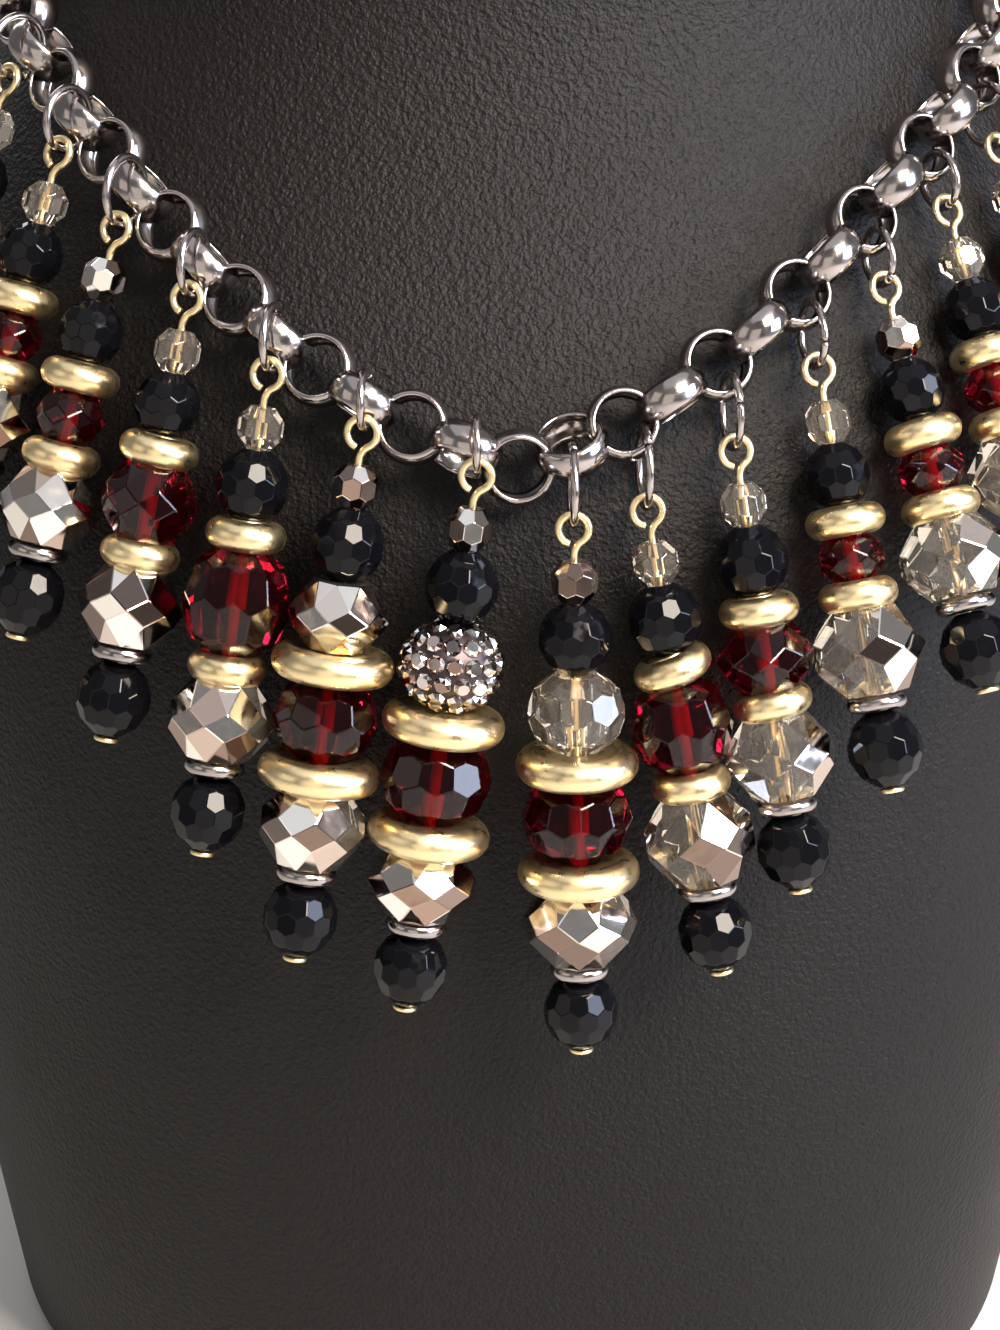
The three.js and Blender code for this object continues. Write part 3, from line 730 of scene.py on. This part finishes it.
class NecklaceColours(bpy.types.PropertyGroup):
    """Colours of the finishes."""
    leatherette: colour_property("Leatherette", "#131111", "Dyed skin of the bust")
    felt: colour_property("Felt", "#0c0b0b", "Dyed felt on the base and the neck's top")
    gunmetal: colour_property("Gunmetal", "#aaa29f", "Dark plate of chain, rings and spacers")
    gold: colour_property("Gold", "#f5dfae", "Pale gold plate of discs and pins")
    jet: colour_property("Jet", "#07070a", "Black glass")
    garnet: colour_property("Garnet", "#6a0718", "Deep red glass")
    garnet_bore: colour_property("Garnet, ground", "#b0182c", "Rough wall of the hole in the red glass")
    crystal: colour_property("Crystal", "#f3e8d8", "Clear glass with a champagne cast")
    # Of the mirror coat's three tones the pale one is the film's own colour. The warm and dark ones are
    # painted reflections on some facets.
    coat: colour_property("Mirror coat", "#f6f1ea", "Metal film on the crystals")
    coat_warm_painted_reflection: colour_property("Mirror coat, warm", "#b89c8b", "Warmer parts of the film")
    coat_dark_painted_reflection: colour_property("Mirror coat, dark", "#6f625c", "Darkest facets of the film")
    # Each stone's facets run from the darker tone to pure white: painted reflections and glints over the
    # foil's own colour.
    rhinestone: colour_property("Rhinestone", "#e4dad6", "Foiled pale stones")
    smoky: colour_property("Smoky rhinestone", "#9a8175", "Foiled brown stones among the pale ones")
    clay: colour_property("Setting clay", "#4a4142", "What the stones are set in")
    floor: colour_property("Floor", "#c2c0bc", "Board under the bust")


# ------------------------------------------------------------------ operators

class PieceOperator:
    """What the makers have in common."""
    bl_options = {"REGISTER", "UNDO"}


class NECKLACE_OT_bust(PieceOperator, bpy.types.Operator):
    """Make the bust: leatherette with rounded edges, and felt on the base and on the top of the neck"""
    bl_idname = "necklace.bust"
    bl_label = "Neck bust"

    def execute(self, context):
        columns, rows, bend_rows, end_rows = 220, 150, 8, 12
        edge = 2.5  # radius of the rounded edges
        pole = 0.02  # share of its radius at which an end's last ring stands
        top = BUST_SECTIONS[-1, 0]
        turn = 2 * np.pi * np.arange(columns) / columns
        bend = np.linspace(0, np.pi / 2, bend_rows)
        low, inward = edge * (1 - np.cos(bend)), edge * (1 - np.sin(bend))
        rise = np.concatenate([low, np.linspace(edge, top - edge, rows)[1:-1], top - low[::-1]])
        inset = np.concatenate([inward, np.zeros(rows - 2), inward[::-1]])
        skin = bust_point(turn[None, :], rise[:, None])
        skin[..., :2] *= 1 - inset[:, None, None] / np.linalg.norm(skin[..., :2], axis=-1, keepdims=True)
        share = np.linspace(1, pole, end_rows)[1:, None, None]
        lid = skin[-1][None] * [1, 1, 0] * share + [0, 0, top]
        base = skin[0][None] * [1, 1, 0] * share[::-1]
        points = np.concatenate([base, skin, lid])
        belt = np.arange(len(points) - 1)
        felted = (belt < len(base)) | (belt >= len(base) + len(skin) - 1)
        material = np.concatenate([np.repeat(felted, columns), [True, True]]).astype(int)
        form = grid_part(points, caps=True, material=material)
        build("neck_bust_skin", [form], ["leatherette", "felt"], "neck_bust")
        return {"FINISHED"}


class NECKLACE_OT_chain(PieceOperator, bpy.types.Operator):
    """Make the chain's domed belcher links: a hollow C-shaped band turned about each link's own axis"""
    bl_idname = "necklace.chain"
    bl_label = "Rolo chain"

    def execute(self, context):
        sizes = context.scene.necklace_sizes
        half = sizes.link_width / 2
        rows, around = 9, 40
        lip = 0.94  # the hollow's width as a share of the band's
        across = np.linspace(-1, 1, rows)
        outer = np.stack([sizes.link_outer - sizes.link_dome * across ** 2, half * across], -1)
        inner = np.stack([outer[::-1, 0] - sizes.link_wall, outer[::-1, 1] * lip], -1)
        band = turned(np.concatenate([outer, inner]), around)
        place, tangent, normal, roll = chain_places()
        sideways = np.cross(tangent, normal)
        axis = np.cos(roll)[:, None] * normal + np.sin(roll)[:, None] * sideways
        basis = np.stack([tangent, np.cross(axis, tangent), axis], 1)
        links = [moved(band, place[i], basis[i]) for i in range(len(place))]
        build("chain_links", links, ["gunmetal"], "chain")
        return {"FINISHED"}


class NECKLACE_OT_clasp(PieceOperator, bpy.types.Operator):
    """Make the plain barrel at the nape: a round bar of superellipse outline with a groove near each end"""
    bl_idname = "necklace.clasp"
    bl_label = "Clasp"

    def execute(self, context):
        points = node_points("clasp")
        centre, directions = principal(points)
        spread = np.abs((points - centre) @ directions.T).max(0)
        rows, around, roundness = 41, 36, 10
        groove_place, groove_width, groove_depth = 0.62, 0.05, 0.1  # as shares of the half length and radius
        along = np.linspace(-1, 1, rows)
        swell = np.clip(1 - np.abs(along) ** roundness, 0, 1) ** 0.5
        groove = 1 - groove_depth * np.exp(-((np.abs(along) - groove_place) / groove_width) ** 2)
        profile = np.stack([np.maximum(swell * groove, 0.02), along * spread[2]], -1)
        bar = turned(profile, around, closed=False)
        bar["points"][:, :2] *= [spread[1], spread[0]]
        basis = np.array([directions[1], directions[0], np.cross(directions[1], directions[0])])
        build("clasp_barrel", [moved(bar, centre, basis)], ["gunmetal"], "clasp")
        return {"FINISHED"}


class NECKLACE_OT_jump_rings(PieceOperator, bpy.types.Operator):
    """Make the jump rings: round wire bent to a circle that stops just short of meeting itself"""
    bl_idname = "necklace.jump_rings"
    bl_label = "Jump rings"

    def execute(self, context):
        sizes = context.scene.necklace_sizes
        arc = 357  # degrees of the circle that the wire fills
        for number in range(1, len(DROPS) + 1):
            centre, axis = ring_place(number)
            centre = centre + RING_EASE * unit(centre - drop_place(number)[0])
            first = unit(np.cross(axis, [0.3, -1, 0.2]))  # one of the directions square to the axis
            second = np.cross(axis, first)
            start = 4 + 25 * number  # degrees: each ring's gap is somewhere else
            angle = np.radians(np.linspace(start, start + arc, 57))[:, None]
            radius = RING_RADII.get(number, sizes.ring_radius) + RING_EASE
            path = centre + radius * (np.cos(angle) * first + np.sin(angle) * second)
            wire = swept(path, axis, sizes.ring_wire, 12)
            node = f"jump_ring_{number:02d}"
            build(f"{node}_wire", [wire], ["gunmetal"], node)
        return {"FINISHED"}


class NECKLACE_OT_pins(PieceOperator, bpy.types.Operator):
    """Make the head pins: a wire that starts beside the eye, loops round it and runs down to its flat head"""
    bl_idname = "necklace.pins"
    bl_label = "Head pins"

    def execute(self, context):
        wire = context.scene.necklace_sizes.pin_wire
        tall = EYE_RADIUS * EYE_STRETCH
        turn = np.radians(np.linspace(-163, 152, 44))
        loop = np.stack([EYE_RADIUS * np.sin(turn), 0 * turn,
                         tall - EYE_RADIUS + EYE_RADIUS * np.cos(turn)], -1)
        # The neck is a Hermite curve from the loop's end to the pin's axis, with these two slopes.
        t = np.linspace(0, 1, 12)[1:, None]
        start, stop = loop[-1], np.array([0, 0, -tall])
        leaving, arriving = np.array([-1.3, 0, -0.8]), np.array([0, 0, -1.6])
        neck = ((2 * t ** 3 - 3 * t ** 2 + 1) * start + (t ** 3 - 2 * t ** 2 + t) * leaving
                + (3 * t ** 2 - 2 * t ** 3) * stop + (t ** 3 - t ** 2) * arriving)
        head_radius, head_rim, axis_gap = 1.3, 0.28, 0.05
        head_middle, head_face = 0.3, 0.58  # how far they lie below the pin's end
        for number in range(1, len(DROPS) + 1):
            eye, basis, _, end = drop_place(number)
            shank = np.zeros((6, 3))
            shank[:, 2] = np.linspace(stop[2] - 1, -end - 0.1, len(shank))
            shapes = [swept(np.concatenate([loop, neck, shank]), (0, 1, 0), wire, 10)]
            rim = rim_profile(head_radius, head_rim, 7)[::-1] + [0, -end - head_middle]
            head = np.concatenate([[(axis_gap, -end)], rim, [(axis_gap, -end - head_face)]])
            shapes.append(turned(head[::-1], 24, closed=False))
            shapes = [moved(shape, eye, basis) for shape in shapes]
            build(f"head_pin_{number:02d}", shapes, ["gold_plate"], pin_node(number))
        return {"FINISHED"}


def coat_side(number, finish):
    """Direction and threshold, in millimetres, that pick the coated facets: all of them, none, the few that
    face front and right towards the key light, whose coat is a painted glint, or the left front side."""
    if finish == "clear":
        return None
    if finish == "coated":
        return (1, 0, -99)
    # painted glint: only the facets that face front and right, where the key light falls, are coated.
    if finish == "painted_glint":
        return (0.55, -0.83, 4.0)
    return (-0.75, -0.66, -0.3) if number % 2 == 0 else (-0.5, -0.87, 0.2)


class NECKLACE_OT_small_beads(PieceOperator, bpy.types.Operator):
    """Make the small fire-polished beads under the eyes, a little plumper than the construction model's"""
    bl_idname = "necklace.small_beads"
    bl_label = "Small beads"

    def execute(self, context):
        rows, table, bore = (-42, 0, 42), 0.9, 0.45
        plump, extra_spin = 1.1, 1.7

        def make(number, order, width, height):
            drop = DROPS[number - 1]
            coat = coat_side(number, drop["small"])
            spin = drop["spin"] * extra_spin
            return [honeycomb_cut(width * plump, height, 8, rows, table, bore, spin, coat)]
        build_beads("small_bead", make, ["crystal", "coat"], 0.05)
        return {"FINISHED"}


class NECKLACE_OT_black_beads(PieceOperator, bpy.types.Operator):
    """Make the black rounds with their six-sided facets"""
    bl_idname = "necklace.black_beads"
    bl_label = "Black beads"

    def execute(self, context):
        around = context.scene.necklace_sizes.jet_facets
        rows, table, bore = (-54, -27, 0, 27, 54), 0.97, 0.6
        turn = 11  # degrees from one place in the stack to the next

        def make(number, order, width, height):
            spin = DROPS[number - 1]["spin"] + turn * order
            return [honeycomb_cut(width, height, around, rows, table, bore, spin)]
        build_beads("black_bead", make, ["jet"], 0.06)
        return {"FINISHED"}


class NECKLACE_OT_gold_discs(PieceOperator, bpy.types.Operator):
    """Make the gold discs: thick washers whose full round rim stands proud of a flat middle"""
    bl_idname = "necklace.gold_discs"
    bl_label = "Gold discs"

    def execute(self, context):
        bore, slope = 0.65, 0.55  # slope is the width from the rim's top to the flat
        rim_share = 0.61  # the rim's radius as a share of the height
        foot, step = 0.2, 0.03  # width and height of the slope's last part
        collar = [(2.05, 0), (1.95, 0.3), (1.75, 0.4), (1.2, 0.38)]  # radius, and height over the flat
        collared_width = 10  # an upper disc narrower than this has the collar, under its black bead

        def make(number, order, width, height):
            half, thick, swell = width / 2, height / 2, height * rim_share
            rim = rim_profile(half, swell, 17)
            inside = half - swell - slope
            upper = [(inside + foot, thick + step), (inside, thick)]
            if width < collared_width and order == 3:
                upper += [(radius, thick + rise) for radius, rise in collar]
            lower = [(bore, -thick), (inside, -thick), (inside + foot, -thick - step)]
            disc = turned(np.concatenate([lower, rim, upper, [(bore, thick)]]), 64)
            tilt = np.radians(TILTED_DISCS.get((number, order), 0))
            return [moved(disc, (0, 0, 0), [(np.cos(tilt), 0, np.sin(tilt)), (0, 1, 0),
                                            (-np.sin(tilt), 0, np.cos(tilt))])]
        build_beads("gold_disc", make, ["gold_plate"])
        return {"FINISHED"}


class NECKLACE_OT_red_beads(PieceOperator, bpy.types.Operator):
    """Make the red glass: large rounds with six-sided facets, and kite-cut rondelles where they are small"""
    bl_idname = "necklace.red_beads"
    bl_label = "Red beads"

    def execute(self, context):
        bore, kite_width, tall = 0.6, 10.5, 9.5  # beads under kite_width are kite-cut

        def make(number, order, width, height):
            spin = DROPS[number - 1]["spin"]
            if width < kite_width:
                return [ground_bore(diamond_cut(width, height, 8, 0.6, bore, spin))]
            steep = 50 if height < tall else 54
            rows = (-steep, -steep / 3, steep / 3, steep)
            return [ground_bore(honeycomb_cut(width, height, 10, rows, 0.9, bore, spin))]
        build_beads("red_bead", make, ["garnet", "garnet_bore"], 0.1)
        return {"FINISHED"}


class NECKLACE_OT_rondelles(PieceOperator, bpy.types.Operator):
    """Make the crystal rondelles, clear or mirror coated: all kite-cut, but for one clear honeycomb-cut"""
    bl_idname = "necklace.rondelles"
    bl_label = "Rondelles"

    def execute(self, context):
        around = context.scene.necklace_sizes.crystal_facets
        bore, kite_table = 0.65, 0.58
        rows, round_table = (-50, -50 / 3, 50 / 3, 50), 0.92
        turn = 9  # degrees from one place in the stack to the next

        def make(number, order, width, height):
            drop = DROPS[number - 1]
            finish = UPPER_RONDELLE[number] if order == 3 else drop["rondelle"]
            spin = drop["spin"] + turn * order
            if finish == "clear" and order == 3:
                return [honeycomb_cut(width, height, 9, rows, round_table, bore, spin)]
            return [diamond_cut(width, height, around, kite_table, bore, spin, coat_side(number, finish))]
        build_beads("rondelle", make, ["crystal", "coat"], 0.08)
        return {"FINISHED"}


class NECKLACE_OT_spacers(PieceOperator, bpy.types.Operator):
    """Make the dark metal spacers: thin rounded washers"""
    bl_idname = "necklace.spacers"
    bl_label = "Spacers"

    def execute(self, context):
        def make(number, order, width, height):
            bore, half, hollow = 0.6, height / 2, 0.8
            rim = rim_profile(width / 2, half, 13)
            return [turned(np.concatenate([rim, [(bore, half * hollow), (bore, -half * hollow)]]), 44)]
        build_beads("spacer", make, ["gunmetal"])
        return {"FINISHED"}


def rhinestone(width):
    """A round stone, z outward: a table, a crown of triangles, a girdle and a flat back, between three rings
    of eight points, each turned half a step from the last."""
    angle = np.pi * np.arange(8) / 4
    rings = [(0.34, 0.3), (0.5, 0.06), (0.46, -0.25)]  # radius and height as shares of the width
    points = np.concatenate([np.stack([r * np.cos(angle + k * np.pi / 8), r * np.sin(angle + k * np.pi / 8),
                                       np.full(8, h)], -1) for k, (r, h) in enumerate(rings)])
    i = np.arange(8)
    n = (i + 1) % 8
    crown = np.concatenate([np.stack([n, i, 8 + i], -1), np.stack([8 + i, 8 + n, n], -1)])
    belt = np.concatenate([np.stack([16 + i, 16 + n, 8 + n], -1), np.stack([16 + i, 8 + n, 8 + i], -1)])
    corners = np.concatenate([i, crown.ravel(), belt.ravel(), 16 + i[::-1]])
    return part(points * width, corners, [8] + [3] * 32 + [8])


class NECKLACE_OT_pave_ball(PieceOperator, bpy.types.Operator):
    """Make the paved ball: a dark ball of setting clay closely set with rhinestones in rings"""
    bl_idname = "necklace.pave_ball"
    bl_label = "Paved ball"

    def execute(self, context):
        stone_width = context.scene.necklace_sizes.stone
        ring_count, top_latitude, spacing = 6, 66, 1.04  # spacing in stone widths
        depth, wobble, pale_share = 0.94, 0.16, 0.6  # wobble is how far a stone leans out of true
        clay_depth, clay_tilt, bore = 0.93, 1.25, 0.6

        def make(number, order, width, height):
            half, tall = width / 2, height / 2
            tilt = np.linspace(-clay_tilt, clay_tilt, 24)
            clay = np.stack([half * clay_depth * np.cos(tilt),
                             tall * clay_depth * np.sin(tilt) / np.sin(clay_tilt)], -1)
            clay = np.concatenate([clay, [(bore, clay[-1, 1]), (bore, clay[0, 1])]])
            shapes = [turned(clay, 40, material=1)]
            stone = rhinestone(stone_width)
            chance = np.random.default_rng(7)
            latitudes = np.radians(np.linspace(-top_latitude, top_latitude, ring_count))
            for ring, latitude in enumerate(latitudes):
                count = int(np.pi * width * np.cos(latitude) / (stone_width * spacing))
                for turn in 2 * np.pi * (np.arange(count) + 0.5 * (ring % 2)) / count:
                    out = np.array([np.cos(latitude) * np.cos(turn), np.cos(latitude) * np.sin(turn),
                                    np.sin(latitude)])
                    seat = out * [half * depth, half * depth, tall * depth]
                    facing = unit(out + wobble * chance.standard_normal(3))
                    side = unit(np.cross([0, 0, 1], facing))
                    tone = 0 if chance.random() < pale_share else 2
                    shapes.append(dict(moved(stone, seat, [side, np.cross(facing, side), facing]),
                                       material=np.full(len(stone["sizes"]), tone)))
            return shapes
        build_beads("pave_ball", make, ["rhinestone", "clay", "smoky_rhinestone"])
        return {"FINISHED"}


class NECKLACE_OT_stage(PieceOperator, bpy.types.Operator):
    """Make the floor, the soft studio lights and the camera"""
    bl_idname = "necklace.stage"
    bl_label = "Stage"

    def execute(self, context):
        scene = context.scene
        reach, below = 4000.0, -0.2  # the floor's half width, and its height just under the bust
        corners = np.array([(x * reach, y * reach, below) for x, y in ((-1, -1), (1, -1), (1, 1), (-1, 1))])
        mesh = bpy.data.meshes.new("floor")
        mesh.from_pydata((corners * MM).tolist(), [], [(0, 1, 2, 3)])
        mesh.materials.append(finish_of("board"))
        floor = bpy.data.objects.new("floor", mesh)
        scene.collection.objects.link(floor)

        world = bpy.data.worlds.new("studio")
        world.use_nodes = True
        sky = world.node_tree.nodes["Background"]
        sky.inputs["Color"].default_value = linear("#e4e4e6")
        sky.inputs["Strength"].default_value = 0.27
        scene.world = world
        scene.view_settings.view_transform = "Standard"

        # Softboxes: name, place and aim in millimetres, side in millimetres, watts and colour.
        boxes = [
            ("key", (240, -360, 480), (0, -75, 110), 240, 8.0, "#fff2e2"),
            ("window", (440, -260, 260), (0, -75, 110), 260, 3.8, "#d6e3ff"),
            ("overhead", (0, -200, 2500), (0, -60, 110), 3000, 17.0, "#f4f6ff"),
            ("left_fill", (-520, -380, 300), (0, -75, 110), 340, 0.3, "#fff3e6"),
            ("front", (-100, -700, 200), (0, -75, 110), 420, 0.5, "#fff4e8"),
            ("rim", (-250, 420, 420), (0, 0, 150), 300, 1.2, "#ffffff"),
        ]
        for name, place, aim, side, watts, colour in boxes:
            light = bpy.data.lights.new(name, "AREA")
            light.shape = "SQUARE"
            light.size = side * MM
            light.energy = watts
            light.color = linear(colour)[:3]
            lamp = bpy.data.objects.new(name, light)
            aim_at(lamp, np.array(place) * MM, np.array(aim) * MM)
            scene.collection.objects.link(lamp)

        # Seen from 22 degrees above level, 330 mm from the middle of the bib, where the view is 102 mm wide.
        elevation, distance, shown_width = np.radians(22), 330.0, 102.0
        aim = np.array([-1.5, -83.4, 112.7])
        back = np.array([0, -np.cos(elevation), np.sin(elevation)])
        camera = bpy.data.cameras.new("camera")
        camera.sensor_fit = "HORIZONTAL"
        camera.sensor_width = 36
        camera.lens = 36 * distance / shown_width
        camera.clip_start = 0.01
        viewer = bpy.data.objects.new("camera", camera)
        aim_at(viewer, (aim + back * distance) * MM, aim * MM)
        scene.collection.objects.link(viewer)
        scene.camera = viewer
        return {"FINISHED"}


def aim_at(thing, place, aim):
    """Puts a lamp or camera at a place with its -Z towards the aim and its Y upwards."""
    thing.location = place
    thing.rotation_euler = Vector(aim - place).to_track_quat("-Z", "Y").to_euler()


class NECKLACE_PT_panel(bpy.types.Panel):
    """Sidebar panel that lists the makers"""
    bl_idname = "NECKLACE_PT_panel"
    bl_label = "Bib necklace"
    bl_space_type = "VIEW_3D"
    bl_region_type = "UI"
    bl_category = "Necklace"

    def draw(self, context):
        for maker in MAKERS:
            self.layout.operator(maker.bl_idname)
        for group in (context.scene.necklace_sizes, context.scene.necklace_colours):
            for key in group.bl_rna.properties.keys():
                if key not in ("rna_type", "name"):
                    self.layout.prop(group, key)


MAKERS = (NECKLACE_OT_stage, NECKLACE_OT_bust, NECKLACE_OT_chain, NECKLACE_OT_clasp, NECKLACE_OT_jump_rings,
          NECKLACE_OT_pins, NECKLACE_OT_small_beads, NECKLACE_OT_black_beads, NECKLACE_OT_gold_discs,
          NECKLACE_OT_red_beads, NECKLACE_OT_rondelles, NECKLACE_OT_spacers, NECKLACE_OT_pave_ball)
CLASSES = (NecklaceSizes, NecklaceColours, *MAKERS, NECKLACE_PT_panel)


def register():
    for cls in CLASSES:
        bpy.utils.register_class(cls)
    bpy.types.Scene.necklace_sizes = PointerProperty(type=NecklaceSizes)
    bpy.types.Scene.necklace_colours = PointerProperty(type=NecklaceColours)


def unregister():
    del bpy.types.Scene.necklace_colours
    del bpy.types.Scene.necklace_sizes
    for cls in reversed(CLASSES):
        bpy.utils.unregister_class(cls)


def main():
    register()
    for maker in MAKERS:
        module, name = maker.bl_idname.split(".")
        getattr(getattr(bpy.ops, module), name)()


if __name__ == "__main__":
    main()
